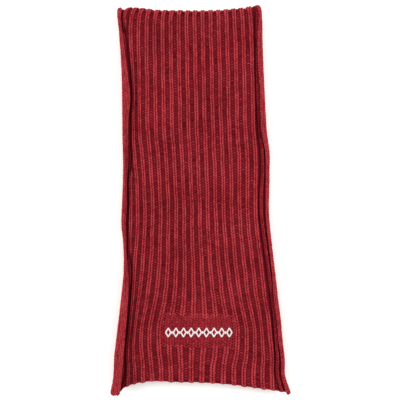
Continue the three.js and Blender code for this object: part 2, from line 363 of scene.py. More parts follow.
def leaf_place(rib, along, height):
    """Points of the leaf from rib, millimetres along and height above the back of the cloth."""
    rib, along, height = np.broadcast_arrays(*(np.asarray(v, float) for v in (rib, along, height)))
    row = station(along)
    x, lift = across_field(row, rib), height.copy()
    squeezed = 1 - SQUEEZE * ease(along, SQUEEZED_FROM, SQUEEZED_AT)
    for side in (-1, 1):
        radius, start, start_rib, end_rib, wrap = curl_of(row, along, side)
        share = (rib - start_rib) / (end_rib - start_rib)
        reach = radius - height
        x = np.where(share > 0, start + side * reach * np.sin(share * wrap), x)
        lift = np.where(share > 0, squeezed * (radius - reach * np.cos(share * wrap)), lift)
    ends = read_table(ENDS, rib)
    turn_y = ends["fold"] - TURN_OUTER
    y = ends["hem"] + (turn_y - ends["hem"]) * np.minimum(along, FLAT_LENGTH) / FLAT_LENGTH
    turned = np.maximum(along - FLAT_LENGTH, 0) / TURN_MIDDLE
    out = TURN_INNER + lift
    z = np.where(turned > 0, TURN_HEIGHT + out * np.cos(turned), LEAF_BACK + lift)
    return np.stack([x, y + np.where(turned > 0, out * np.sin(turned), 0), z], axis=-1)


# %% [markdown]
# ## The dark gaps and the plain patch
# Beside each curl runs a gap that hardly any light reaches: the cloth dips there before it rises
# into the roll, and the shade there is painted into the yarn and the cloth as well. And low in the
# middle of the leaf lies the patch, where no stitch is a purl.
# These functions say how near a place is to either, and all that is laid later asks them.

# %% Where the gaps and the patch are
PATCH_LEFT, PATCH_RIGHT = -3.5, 2.5
PATCH_FROM, PATCH_TO = 51, 85
PATCH_FADE = 3
GAP_HALF = 0.5
GAP_FADE_OUT = 2.2
# painted shade: the shade that yarn and cloth are given in the middle of a gap
GAP_SHADE = 0.2
PARTED_FROM, PARTED_AT = 2.5, 4.0
# painted shade of the fainter dark line along a curl's rim, where the shell dips too
RIM_DEPTH = 0.55
RIM_PAST_CURL = 0.7
RIM_HALF, RIM_FADE_OUT = 0.4, 1.7
# painted shade on the inner half of the left curl, where it leans out of the light
DIMMED = 0.32
DIM_FROM, DIM_AT = 2.0, 4.5


def past_gaps(x, row):
    """Millimetres from the middle of the nearer gap: above 0 on the leaf, below 0 on a curl."""
    left = x - row["left_edge"] - row["left_gap"]
    right = row["right_edge"] - row["right_gap"] - x
    return np.minimum(left, right)


def gap_depth(x, row):
    """1 in the middle of a gap, 0 well away from it. Its side towards the curl is the sharper one.
    Where the cloth between curl and gap is wide, a fainter line runs along the curl's own rim.
    The shell dips by it, and it sets how much painted shade a place gets."""
    past = past_gaps(x, row)
    inner = 1 - ease(past, GAP_HALF, np.where(x < 0, row["left_fade"], row["right_fade"]))
    outer = 1 - ease(-past, GAP_HALF, GAP_FADE_OUT)
    depth = np.where(past > 0, inner, outer)
    for side in (-1, 1):
        name = side_name(side)
        from_edge = -side * (x - row[name + "edge"])
        from_rim = np.abs(from_edge - row[name + "strip"] - RIM_PAST_CURL)
        parted = ease(row[name + "gap"] - row[name + "strip"], PARTED_FROM, PARTED_AT)
        rim = 1 - ease(from_rim, RIM_HALF, RIM_FADE_OUT)
        depth = np.maximum(depth, RIM_DEPTH * parted * rim)
    return depth


def shaded(shade, x, row):
    """A shade made darker with painted shade in a gap and on the inner half of the dim left curl."""
    depth = gap_depth(x, row)
    from_edge = x - row["left_edge"]
    dim = row["left_dim"] * ease(from_edge, DIM_FROM, DIM_AT) * (from_edge < row["left_gap"])
    return (shade - DIMMED * dim) * (1 - depth) + GAP_SHADE * depth


def in_patch(rib, along):
    """1 on the plain patch, 0 off it, with a soft edge below and above."""
    across = (rib > PATCH_LEFT) & (rib < PATCH_RIGHT)
    below = ease(along, PATCH_FROM - PATCH_FADE, PATCH_FROM)
    return across * below * (1 - ease(along, PATCH_TO, PATCH_TO + PATCH_FADE))


print("plain patch, mm above the hem:", PATCH_FROM, "to", PATCH_TO)

# %% [markdown]
# ## From numbers to meshes
# More than ten thousand short lengths of yarn lie on a surface that is a formula, so cloth and yarn
# are worked out as arrays of points in millimetres, not shaped by hand. One helper makes the
# object in metres and gives it its map of the yarn, a shade for each point, its finish and its
# place on the frame.

# %% Making a piece
def new_piece(name, points, faces, material, replaces, shades, uvs=None):
    """A piece from points in millimetres, with its finish, riding on the scarf's one body."""
    mesh = bpy.data.meshes.new(name)
    mesh.from_pydata((np.asarray(points) / 1000).tolist(), [], faces)
    piece = bpy.data.objects.new(name, mesh)
    bpy.context.collection.objects.link(piece)
    mesh.polygons.foreach_set("use_smooth", [True] * len(mesh.polygons))
    shade = mesh.attributes.new("shade", "FLOAT", "POINT")
    shade.data.foreach_set("value", np.asarray(shades, np.float32))
    if uvs is not None:
        mesh.uv_layers.new(name="yarn").data.foreach_set("uv", np.asarray(uvs, np.float32).ravel())
    mesh.materials.append(material)
    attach(piece, "root")
    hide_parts(replaces)
    print(name, "triangles:", sum(len(face) - 2 for face in faces))
    return piece


# %% [markdown]
# ## Wool yarn
# The yarn is thick, softly plied wool, dyed a deep brick red. Wool scatters light and carries a
# halo of short fibres, so the finish is rough, with a little sheen and hardly any gloss. The plies
# run round the yarn as a slanting wave, worked out from the yarn's own map, whose first number is
# millimetres along the yarn and whose second is turns round it. The shell under the stitches has
# no such map, so it shows no plies. Little light gets down between the loops, so shade is painted
# into the colour: the shade of each point goes from nearly black deep in the knit to bright on the
# crown of a loop, and a soft mottle says that the dye did not take quite evenly. The second, darker
# copy of the wool, for the shell and the hidden layers, is painted shade as well. A wool fibre is
# about 0.03 mm thick, too fine to show here, so the fuzz is drawn at half a millimetre.

# %% Wool
PLY_TURNS_PER_MM = 0.16
PLIES = 3
PLY_RELIEF = 0.5
FIBRE_MM = 0.5
MOTTLE_MM = 45.0
MOTTLE_SHARE, FIBRE_SHARE = 0.30, 0.26


def wool(name, colours):
    material, tree = new_material(name)
    shade = add_node(tree, "ShaderNodeAttribute", attribute_name="shade").outputs["Fac"]
    place = add_node(tree, "ShaderNodeTexCoord").outputs["Object"]
    noises = [
        add_node(tree, "ShaderNodeTexNoise", {"Vector": place, "Scale": 1000 / size, "Detail": 2.0})
        for size in (MOTTLE_MM, FIBRE_MM)
    ]
    mottle, fibre = (noise.outputs["Fac"] for noise in noises)
    dye = {0: mottle, 1: MOTTLE_SHARE, 2: shade}
    mottled = add_node(tree, "ShaderNodeMath", dye, operation="MULTIPLY_ADD")
    fuzz = {0: fibre, 1: FIBRE_SHARE, 2: mottled.outputs[0]}
    fuzzy = add_node(tree, "ShaderNodeMath", fuzz, operation="MULTIPLY_ADD")
    middle = (MOTTLE_SHARE + FIBRE_SHARE) / 2
    centred = add_node(tree, "ShaderNodeMath", {0: fuzzy.outputs[0], 1: middle}, operation="SUBTRACT")
    ramp = add_node(tree, "ShaderNodeValToRGB", {"Fac": centred.outputs[0]})
    stops = ramp.color_ramp.elements
    while len(stops) < len(colours):
        stops.new(0.5)
    for stop, (position, colour) in zip(stops, colours):
        stop.position = position
        stop.color = linear(colour)

    yarn = add_node(tree, "ShaderNodeUVMap", uv_map="yarn").outputs["UV"]
    parts = add_node(tree, "ShaderNodeSeparateXYZ", {"Vector": yarn})
    turns = {0: parts.outputs["X"], 1: PLY_TURNS_PER_MM, 2: parts.outputs["Y"]}
    twist = add_node(tree, "ShaderNodeMath", turns, operation="MULTIPLY_ADD")
    angle = {0: twist.outputs[0], 1: 2 * math.pi * PLIES}
    phase = add_node(tree, "ShaderNodeMath", angle, operation="MULTIPLY")
    plies = add_node(tree, "ShaderNodeMath", {0: phase.outputs[0]}, operation="SINE")
    heights = {0: plies.outputs[0], 1: PLY_RELIEF, 2: fibre}
    relief = add_node(tree, "ShaderNodeMath", heights, operation="MULTIPLY_ADD")
    bump_sockets = {"Height": relief.outputs[0], "Strength": 0.6, "Distance": 0.0003}
    bump = add_node(tree, "ShaderNodeBump", bump_sockets)
    surface = add_node(
        tree,
        "ShaderNodeBsdfPrincipled",
        {
            "Base Color": ramp.outputs["Color"],
            "Roughness": 0.95,
            "Specular IOR Level": 0.08,
            "Sheen Weight": 0.05,
            "Sheen Roughness": 0.6,
            "Sheen Tint": linear("#D8666C"),
            "Normal": bump.outputs["Normal"],
        },
    )
    add_node(tree, "ShaderNodeOutputMaterial", {"Surface": surface.outputs["BSDF"]})
    return material


brick_wool = wool(
    "brick_red_wool_yarn",
    [(0.0, "#2A0309"), (0.28, "#680D18"), (0.6, "#90242D"), (0.95, "#B03A40")],
)
# a darker copy of the wool for the cloth under the stitches and the hidden layers: painted shade
shade_painted_wool = wool(
    "brick_red_wool_painted_shade",
    [(0.0, "#24030A"), (0.35, "#660B17"), (1.0, "#8E202A")],
)

# %% [markdown]
# ## The cloth under the stitches
# Between the loops one sees deeper yarn, so the cloth itself is a thin shell a little under the
# stitches, with the ribs as soft waves. A sheet like this is a grid of points rather than a
# primitive: its front and its back are two grids, joined all round.

# %% The leaf's shell
SHELL_VALLEY = 1.1
SHELL_RISE = 1.0
PATCH_SHELL_RISE = 1.2
TURN_RISE = 0.9
TURN_RISE_FROM, TURN_RISE_AT = FLAT_LENGTH - 5, FLAT_LENGTH + 8
SHELL_CURL_FRONT = 2.4
SHELL_CURL_BACK = 1.4
# the shell's painted shade, dark between the loops
SHELL_SHADE = 0.55
SHELL_STEP_RIBS = 1 / 8
SHELL_STEP_ALONG = 5.0
SHELL_TURN_ROWS = 14
CURLED_FROM = 1.2
TURN_END = FLAT_LENGTH + math.pi * TURN_MIDDLE
END_ROUND = 5.0
END_DRAWN = 2.2


def curl_share(rib, along):
    """0 on the flat, rising to 1 at CURLED_FROM, in radians round a curl."""
    row = station(along)
    share = 0
    for side in (-1, 1):
        _, _, start_rib, end_rib, wrap = curl_of(row, along, side)
        share = share + ease((rib - start_rib) / (end_rib - start_rib) * wrap, 0, CURLED_FROM)
    return share


def drawn_in(along):
    """How far a curl is drawn in near the hem, where its end is round."""
    left = np.clip(1 - along / END_ROUND, 0, 1)
    return END_DRAWN * (1 - np.sqrt(1 - left**2))


def shell_front(rib, along):
    """The height of the shell's front face: waves along the ribs, higher on the patch and fold."""
    row = station(along)
    wave = 0.5 + 0.5 * np.cos(2 * math.pi * rib)
    patch = in_patch(rib, along)
    out_of_gap = 1 - gap_depth(across_field(row, rib), row)
    rise = SHELL_RISE * (wave * (1 - patch) + PATCH_SHELL_RISE * patch) * out_of_gap
    rise = rise + TURN_RISE * wave * ease(along, TURN_RISE_FROM, TURN_RISE_AT)
    share = curl_share(rib, along)
    return (SHELL_VALLEY + rise) * (1 - share) + (SHELL_CURL_FRONT + drawn_in(along)) * share


def joined_grids(front, back):
    """Points and faces of two grids joined all round into one closed shell."""
    rows, columns = front.shape[:2]
    top = np.arange(rows * columns).reshape(rows, columns)
    low = top + rows * columns
    quads = [
        np.stack([top[:-1, :-1], top[:-1, 1:], top[1:, 1:], top[1:, :-1]], axis=-1),
        np.stack([low[:-1, :-1], low[1:, :-1], low[1:, 1:], low[:-1, 1:]], axis=-1),
        np.stack([top[:-1, 0], top[1:, 0], low[1:, 0], low[:-1, 0]], axis=-1),
        np.stack([top[:-1, -1], low[:-1, -1], low[1:, -1], top[1:, -1]], axis=-1),
        np.stack([top[0, :-1], low[0, :-1], low[0, 1:], top[0, 1:]], axis=-1),
        np.stack([top[-1, :-1], top[-1, 1:], low[-1, 1:], low[-1, :-1]], axis=-1),
    ]
    points = np.concatenate([front.reshape(-1, 3), back.reshape(-1, 3)])
    return points, [face for quad in quads for face in quad.reshape(-1, 4).tolist()]


# %% The leaf's cloth
ribs = np.arange(LEFT_SELVEDGE, RIGHT_SELVEDGE + 0.01, SHELL_STEP_RIBS)
flat_rows = np.arange(0, FLAT_LENGTH, SHELL_STEP_ALONG)
turn_rows = np.linspace(FLAT_LENGTH, TURN_END, SHELL_TURN_ROWS)
rib_grid, along_grid = np.meshgrid(ribs, np.concatenate([flat_rows, turn_rows]))
front = leaf_place(rib_grid, along_grid, shell_front(rib_grid, along_grid))
back_height = (SHELL_CURL_BACK + drawn_in(along_grid)) * curl_share(rib_grid, along_grid)
points, faces = joined_grids(front, leaf_place(rib_grid, along_grid, back_height))
shell_shade = shaded(SHELL_SHADE, front[..., 0], station(along_grid))
leaf = new_piece(
    "leaf_cloth", points, faces, shade_painted_wool, "front_leaf", np.tile(shell_shade.ravel(), 2)
)

# %% [markdown]
# ## One length of yarn
# On the knit side a stitch shows as a V: two legs of yarn that come up out of the stitch below,
# swell, lean outwards and dive again. On the purl side only the top of a loop shows, a short bar.
# Both are one short length of yarn. It starts as a sphere with few faces, whose rings are moved
# onto a path, and that one shape is then laid thousands of times along the cloth.

# %% A length of yarn
YARN_SIDES = 6
YARN_RINGS = 5

bpy.ops.object.select_all(action="DESELECT")
bpy.ops.mesh.primitive_uv_sphere_add(segments=YARN_SIDES, ring_count=YARN_RINGS + 1, radius=1)
grain = bpy.context.object
grain_points = np.array([vertex.co for vertex in grain.data.vertices])
grain_faces = [list(face.vertices) for face in grain.data.polygons]
grain_uvs = np.array([loop.uv for loop in grain.data.uv_layers.active.data])
bpy.data.objects.remove(grain)
from_pole = np.arccos(np.clip(grain_points[:, 2], -1, 1)) / math.pi
grain_ring = np.round(from_pole * (YARN_RINGS + 1)).astype(int)
grain_turn = np.arctan2(grain_points[:, 1], grain_points[:, 0])
print("faces in one length of yarn:", len(grain_faces))


def yarn_length(path, radii):
    """The grain moved onto a path of seven points: its points, its faces and its map in mm."""
    path, radii = np.array(path, float), np.array(radii, float)
    ahead = np.gradient(path, axis=0)
    ahead /= np.linalg.norm(ahead, axis=1)[:, None]
    aside = np.cross(ahead, [0, 0, 1])
    aside /= np.linalg.norm(aside, axis=1)[:, None]
    above = np.cross(aside, ahead)
    cosine, sine = np.cos(grain_turn)[:, None], np.sin(grain_turn)[:, None]
    outward = cosine * aside[grain_ring] + sine * above[grain_ring]
    travel = np.linalg.norm(np.diff(path, axis=0), axis=1).sum()
    uvs = np.stack([(1 - grain_uvs[:, 1]) * travel, grain_uvs[:, 0]], axis=1)
    return path[grain_ring] + radii[grain_ring][:, None] * outward, grain_faces, uvs


def mirrored(length):
    """A length of yarn turned into its mirror image, with its faces still outwards."""
    points, faces, uvs = length
    corners = np.split(np.arange(len(uvs)), np.cumsum([len(face) for face in faces])[:-1])
    order = np.concatenate([part[::-1] for part in corners])
    return points * [-1, 1, 1], [face[::-1] for face in faces], uvs[order]


# %% Legs and bars
LEG_TUCKED = 0.4
BAR_SWELL = np.array([0, 0.72, 0.95, 1, 0.95, 0.72, 0])
LEG_SWELL = np.array([0, 0.7, 0.96, 1, 0.95, 0.72, 0])


def leg(inner, outer, rows, dive, radius):
    """The right leg of a V: from the middle of its column up and out, diving at both ends."""
    t = np.array([0, 0.14, 0.32, 0.52, 0.72, 0.88, 1])
    x = inner + (outer - inner) * (3 * t**2 - 2 * t**3)
    y = ROW * rows * (t - 0.5)
    z = -dive * np.abs(2 * t - 1) ** 3
    z[0] -= LEG_TUCKED
    return yarn_length(np.stack([x, y, z], axis=1), radius * LEG_SWELL)


def bar(half, radius, dive, bow=0.5):
    """The top of a purl loop: a short bar across its column, bowed and diving at both ends."""
    t = np.array([-1, -0.8, -0.42, 0, 0.42, 0.8, 1])
    path = np.stack([half * t, -bow * t**2, -dive * t**2], axis=1)
    return yarn_length(path, radius * BAR_SWELL)


# %% [markdown]
# ## Laying yarn on a surface
# The lengths of yarn are gathered into joined meshes, one or a few for each kind of stitch. Shade
# is painted into every point: it gets darker the deeper it lies in its stitch and the deeper it
# lies in a gap.

# %% Gathering yarn
SHADE_PAINTED_PER_MM = 0.27


class Yarn:
    """Lengths of yarn laid on a surface, gathered into one mesh."""

    def __init__(self):
        self.points, self.faces, self.uvs, self.shades, self.count = [], [], [], [], 0

    def lay(self, length, surface, across, along, height, shade, gap_aware=True, shade_per_mm=SHADE_PAINTED_PER_MM):
        """One copy of a length of yarn at each place given, bent to follow the surface."""
        shape, faces, uvs = length
        columns = [np.asarray(v, float).reshape(-1, 1) for v in (across, along, height, shade)]
        across, along, height, shade = np.broadcast_arrays(*columns)
        placed = surface(across + shape[:, 0], along + shape[:, 1], height + shape[:, 2])
        # painted shade: the deeper a point lies in its length of yarn, the darker it is
        shades = shade + shade_per_mm * (shape[:, 2] - shape[:, 2].max())
        # painted shade of the gaps and of the dim left curl
        if gap_aware:
            shades = shaded(shades, placed[..., 0], station(along))
        self.points.append(placed.reshape(-1, 3))
        self.shades.append(shades.ravel())
        self.uvs.append(np.tile(uvs, (len(across), 1)))
        for n in range(len(across)):
            first = self.count + n * len(shape)
            self.faces += [[first + i for i in face] for face in faces]
        self.count += len(across) * len(shape)

    def piece(self, name, material, slot, replaces):
        """All the yarn laid so far, as one object."""
        points, shades, uvs = (np.concatenate(part) for part in (self.points, self.shades, self.uvs))
        return new_piece(name, points, self.faces, material, replaces, shades, uvs)


# %% [markdown]
# ## What makes it hand-made
# Hand and yarn are never quite even. Each stitch strays a little by itself, and each column drifts
# slowly along its length. Both are drawn from one seeded source, so that the scarf comes out the
# same each time. STRAY says by how much, in millimetres across, along and up, and in shade. DRIFT
# says the same across, up and in shade, and WAVES gives the lengths of a drift's waves in
# millimetres, and their weights.

# %% Unevenness
STRAY = {
    "rib": (0.08, 0.14, 0.09, 0.08),
    "purl": (0.15, 0.16, 0.12, 0.1),
    "curl": (0.1, 0.15, 0.07, 0.09),
    "leaning": (0.15, 0.15, 0.1, 0.08),
    "patch": (0.12, 0.18, 0.1, 0.07),
    "foot": (0.3, 0.25, 0.15, 0.08),
    "layer": (0.08, 0.12, 0.05, 0.1),
}
DRIFT = {"rib": (0.35, 0.1, 0.08), "purl": (0.3, 0.12, 0.12)}
CURL_DRIFT = 0.25
WAVES = [(70.0, 0.6), (37.0, 0.35), (19.0, 0.2)]
draw = np.random.default_rng(11)


def jitter(count, amount):
    """A nudge for each of some stitches. The amount is its standard deviation."""
    return draw.normal(0, amount, count)


def strayed(kind, count, *places):
    """The places across, along, up and in shade, each nudged for every stitch."""
    return [place + jitter(count, amount) for place, amount in zip(places, STRAY[kind])]


def wander(along, amount):
    """A slow drift along a column."""
    return sum(
        amount * weight * np.sin(2 * math.pi * (along / wave + draw.random())) for wave, weight in WAVES
    )


print("kinds of stitch that stray:", *STRAY)

# %% [markdown]
# ## The ribs and the valleys
# Row by row, each rib gets a V and each valley a purl bar, lower and darker with painted shade. The
# rows go on over the fold and end under it. Over the fold the stitches open and look bigger, so a
# fuller length of yarn is laid. Where the plain patch lies, the ribs in its way stop, and a rib that
# runs into a gap is pushed aside, darkened with painted shade and ends there.

# %% Knit ribs and purl valleys
RIB_LEG = leg(inner=0.8, outer=1.95, rows=1.45, dive=1.3, radius=1.15)
TURN_LEG = leg(inner=0.9, outer=2.3, rows=1.6, dive=0.8, radius=1.4)
PURL_BAR = bar(half=2.2, radius=0.95, dive=0.9)
TURN_BAR = bar(half=2.6, radius=1.3, dive=0.6)
TURN_SWELL = 0.6
TURN_BEGINS, TURN_FULL, TURN_WANES, TURN_PAST = (FLAT_LENGTH + past for past in (-4, 5, 11, 16))
RIB_HEIGHT, RIB_TONE = 2.85, 0.86
# the purl bars' tone is painted shade: they lie low in the valleys
PURL_HEIGHT, PURL_PAINTED_SHADE = 1.5, 0.55
RIB_BESIDE_GAP, MOST_PUSHED = 2.8, 2.4
RIB_LOST, PURL_LOST = -1.6, 1.4
# painted shade for a rib that runs into a gap
RIB_GAP_SHADE_FROM, RIB_GAP_PAINTED_SHADE = 0.8, 0.5
PATCH_BEGUN = 0.2
FIRST_ROW = 2.4
LAST_ROW = FLAT_LENGTH + math.radians(168) * TURN_MIDDLE


def front_surface(across, along, height):
    """The leaf's face: across is millimetres of knitting from the middle rib."""
    return leaf_place(across / RIB_PITCH, along, height)


def open_rows(rib, lost, ragged=0.0):
    """The rows where a column shows, between the gaps and outside the patch."""
    along = np.arange(FIRST_ROW, LAST_ROW, ROW)
    past = past_gaps(across_field(station(along), rib), station(along))
    keep = (past > lost) & (in_patch(rib, along + ragged) < PATCH_BEGUN)
    return along[keep], past[keep]


def over_turn(along):
    """0 on the flat, 1 where the leaf turns down over the fold, and 0 again below it."""
    return ease(along, TURN_BEGINS, TURN_FULL) - ease(along, TURN_WANES, TURN_PAST)


def lay_on_leaf(yarn, flat_length, turn_length, along, places):
    """One length of yarn on the flat and another over the fold, at the same list of places."""
    flat = over_turn(along) < 0.5
    yarn.lay(flat_length, front_surface, *(values[flat] for values in places))
    yarn.lay(turn_length, front_surface, *(values[~flat] for values in places))


# %% Laying the ribs and valleys
def knit_ribs(name, ribs):
    """Vs up each of some ribs, and over the fold."""
    yarn = Yarn()
    across_drift, height_drift, tone_drift = DRIFT["rib"]
    across_stray, row_stray, height_stray, tone_stray = STRAY["rib"]
    for rib in ribs:
        along, past = open_rows(rib, RIB_LOST, ROW * draw.uniform(-1, 1))
        count = len(along)
        pushed = np.sign(rib) * np.clip(RIB_BESIDE_GAP - past, 0, MOST_PUSHED)
        across = rib * RIB_PITCH + (wander(along, across_drift) + jitter(count, across_stray) - pushed)
        # painted shade as the rib nears a gap, added to its random tone
        gap_shade_on_rib = RIB_GAP_PAINTED_SHADE * (1 - ease(past, RIB_LOST, RIB_GAP_SHADE_FROM))
        tone_and_painted_shade = RIB_TONE + wander(along, tone_drift) - gap_shade_on_rib
        height = RIB_HEIGHT + TURN_SWELL * over_turn(along)
        for flat_leg, turn_leg in ((RIB_LEG, TURN_LEG), (mirrored(RIB_LEG), mirrored(TURN_LEG))):
            places = (
                across,
                along + jitter(count, row_stray),
                height + wander(along, height_drift) + jitter(count, height_stray),
                tone_and_painted_shade + jitter(count, tone_stray),
            )
            lay_on_leaf(yarn, flat_leg, turn_leg, along, places)
    return yarn.piece(name, brick_wool, "knit_red", "front_leaf")


def purl_valleys(name, valleys):
    """Purl bars up each of some valleys, and over the fold."""
    yarn = Yarn()
    across_drift, height_drift, tone_drift = DRIFT["purl"]
    across_stray, row_stray, height_stray, tone_stray = STRAY["purl"]
    for valley in valleys:
        along, _ = open_rows(valley, PURL_LOST)
        count = len(along)
        height = PURL_HEIGHT + TURN_SWELL * over_turn(along)
        places = (
            valley * RIB_PITCH + wander(along, across_drift) + jitter(count, across_stray),
            along + ROW / 2 + jitter(count, row_stray),
            height + wander(along, height_drift) + jitter(count, height_stray),
            PURL_PAINTED_SHADE + wander(along, tone_drift) + jitter(count, tone_stray),
        )
        lay_on_leaf(yarn, PURL_BAR, TURN_BAR, along, places)
    return yarn.piece(name, brick_wool, "knit_red", "front_leaf")


stitches = [
    knit_ribs("ribs_left", range(-10, -3)),
    knit_ribs("ribs_middle", range(-3, 3)),
    knit_ribs("ribs_right", range(3, 9)),
    purl_valleys("purl_valleys", np.arange(-9.5, 9)),
]

# %% [markdown]
# ## The curled edges
# The first and last few columns are plain knit, and plain knit rolls: what shows on a curl is the
# smooth side, Vs packed edge to edge. Their columns are counted from the free edge, which runs
# straight along the knitting however far the curl has rolled. Where the cloth between the gap
# and the roll is wide enough, one more column of Vs shows there, leaning against the roll and
# darkened with painted shade.

# %% Plain columns on the curls
COLUMN = 4.7
CURL_LEG = leg(inner=0.45, outer=1.75, rows=1.5, dive=1.0, radius=1.08)
CURL_LEG_DEPTH, CURL_TONE = 0.9, 0.84
CURL_COLUMNS = {-1: 6, 1: 5}
FIRST_COLUMN, FIRST_CURL_ROW = 0.55, 1.2
LOWEST_ON_CURL = math.radians(12)
# the leaning column's tone is painted shade, as it lies beside the roll
LEANING_FROM_GAP, LEANING_HEIGHT, LEANING_PAINTED_SHADE = 2.7, 3.6, 0.62
LEANING_LEAST = 2.4
LEANING_END = FLAT_LENGTH - 1.5


def curl_surface(side):
    """The outer face of one curl: across is the distance from the free edge, height is outwards."""

    def place(across, along, height):
        radius, _, start_rib, end_rib, wrap = curl_of(station(along), along, side)
        share = 1 - across / (radius * wrap)
        return leaf_place(start_rib + share * (end_rib - start_rib), along, drawn_in(along) - height)

    return place


def leaning_surface(side):
    """The cloth between a gap and its curl: across is the distance outwards from the gap."""

    def place(across, along, height):
        row = station(along)
        name = side_name(side)
        x = row[name + "edge"] - side * (row[name + "gap"] - across)
        rib = side * OUTER_RIB + (x - row[name + "rib"]) / outer_pitch(row, side)
        return leaf_place(rib, along, height)

    return place


# %% Laying the plain columns
def curl_stitches(name, side):
    """Vs up the columns of one curl, and up the leaning column beside it."""
    yarn = Yarn()
    for column in range(CURL_COLUMNS[side]):
        distance = (column + FIRST_COLUMN) * COLUMN
        along = np.arange(FIRST_CURL_ROW + 0.5 * ROW * (column % 2), LAST_ROW, ROW)
        radius, _, _, _, wrap = curl_of(station(along), along, side)
        along = along[wrap - distance / radius > LOWEST_ON_CURL]
        across = distance + wander(along, CURL_DRIFT)
        for length in (CURL_LEG, mirrored(CURL_LEG)):
            places = strayed("curl", len(along), across, along, -CURL_LEG_DEPTH, CURL_TONE)
            yarn.lay(length, curl_surface(side), *places)
    along = np.arange(FIRST_ROW, LEANING_END, ROW)
    row = station(along)
    room = row[side_name(side) + "gap"] - row[side_name(side) + "strip"]
    along = along[room > LEANING_LEAST]
    leaning = (LEANING_FROM_GAP, along, LEANING_HEIGHT, LEANING_PAINTED_SHADE)
    for length in (CURL_LEG, mirrored(CURL_LEG)):
        yarn.lay(length, leaning_surface(side), *strayed("leaning", len(along), *leaning))
    return yarn.piece(name, brick_wool, "knit_red", "front_leaf")


stitches.append(curl_stitches("left_curl_stitches", -1))
stitches.append(curl_stitches("right_curl_stitches", 1))

# %% [markdown]
# ## The plain patch and the cast-on hem
# In the patch every stitch is a knit one, two columns in the place of each rib and valley, and as
# the cloth is stretched wide there, the legs lie slanted. The hem is the cast-on edge: one thick
# loop at the foot of each rib, and a smaller one, drawn back, at the foot of each valley.

# %% The plain patch
PATCH_LEG = leg(inner=0.4, outer=2.3, rows=1.4, dive=0.6, radius=1.15)
PATCH_HEIGHT, PATCH_TONE = 2.3, 0.56
# less painted shade with depth on the flat, stretched patch
PATCH_SHADE_PAINTED_PER_MM = 0.09
BELOW_PATCH, ABOVE_PATCH = 4, 5
PATCH_COLUMN_RIBS = 0.5

yarn = Yarn()
for rib in np.arange(PATCH_LEFT, PATCH_RIGHT + 0.1, PATCH_COLUMN_RIBS):
    along = np.arange(PATCH_FROM - BELOW_PATCH, PATCH_TO + ABOVE_PATCH, ROW)
    column = (rib * RIB_PITCH, along, PATCH_HEIGHT, PATCH_TONE)
    for length in (PATCH_LEG, mirrored(PATCH_LEG)):
        places = strayed("patch", len(along), *column)
        yarn.lay(length, front_surface, *places, shade_per_mm=PATCH_SHADE_PAINTED_PER_MM)
stitches.append(yarn.piece("plain_patch_stitches", brick_wool, "knit_red", "front_leaf"))

# %% The cast-on hem
RIB_FOOT = bar(half=3.3, radius=1.45, dive=1.2, bow=-1.1)
VALLEY_FOOT = bar(half=3.0, radius=1.1, dive=-0.4, bow=0.6)
EDGE_LOOP = bar(half=2.9, radius=1.5, dive=0.5, bow=-0.4)
EDGE_ALONG, EDGE_HEIGHT, EDGE_TONE = 0.5, -1.0, 0.8
EDGE_STRAY = 0.2

yarn = Yarn()
rib_feet = np.arange(-9, 9)
valley_feet = np.arange(-9.5, 9)
# the valley feet are darker: painted shade of the valleys
for length, feet, along, height, shade in (
    (RIB_FOOT, rib_feet, 0.3, 2.3, 0.85),
    (VALLEY_FOOT, valley_feet, 1.3, 1.3, 0.45),
):
    places = strayed("foot", len(feet), feet * RIB_PITCH, along, height, shade)
    yarn.lay(length, front_surface, *places)
for side in (-1, 1):
    radius, _, _, _, wrap = curl_of(station(EDGE_ALONG), EDGE_ALONG, side)
    loops = np.arange(0.5 * COLUMN, radius * wrap, COLUMN)
    along = EDGE_ALONG + jitter(len(loops), EDGE_STRAY)
    yarn.lay(EDGE_LOOP, curl_surface(side), loops, along, EDGE_HEIGHT, EDGE_TONE)
stitches.append(yarn.piece("cast_on_edge", brick_wool, "knit_red", "front_leaf"))

# %% [markdown]
# ## The hidden layers
# The rest of the scarf lies under the leaf: up to the inner fold, back to the hem end, round and
# away again. It is one strip of the same knit, so it is made as one, a flattened tube swept along
# that folded path, with Vs along its side edges and ribs round the fold that shows at the hem.
# LAYERS says how far in from the leaf's own edges each layer lies, the lowest one first.

# %% The folded strip
LAYERS = [
    {"left": 4.5, "right": 5.0, "hem": 8.0, "fold": 1.8},
    {"left": 3.4, "right": 4.0, "hem": 8.0, "fold": 1.4},
    {"left": 5.0, "right": 3.2, "hem": 4.5, "fold": 1.4},
]
LAYERS_LEFT, LAYERS_RIGHT, LAYERS_NEAR = -109, 107, -246
LEVELS = [LAYER_THICK / 2 + i * LAYER_STEP for i in range(len(LAYERS))]
BEND = LAYER_STEP / 2
STRIP_HALF = 1.95
STRIP_VALLEY = 0.45
# painted shade of the hidden layers' cloth, which lies under the leaf
STRIP_SHADE = 0.4
HEM_ROUND = math.pi * (BEND + STRIP_HALF)
STRIP_PARTS, HEM_FOLD_PART = 5, 3
FOLD_RINGS, FLAT_RINGS = 9, 33
EDGE_TURNS = np.linspace(0, math.pi, 9)[1:-1]
RIB_STEPS = 128


def layer_bounds(layer, share):
    """A layer's left and right edge lines, as ribs, at a share of its length."""
    row = station(share * FLAT_LENGTH)
    left = np.maximum(row["left_edge"], LAYERS_LEFT) + layer["left"] + LAYER_THICK / 2
    right = np.minimum(row["right_edge"], LAYERS_RIGHT) - layer["right"] - LAYER_THICK / 2
    left_rib = (left - row["left_rib"]) / outer_pitch(row, -1) - OUTER_RIB
    return left_rib, (right - row["right_rib"]) / outer_pitch(row, 1) + OUTER_RIB


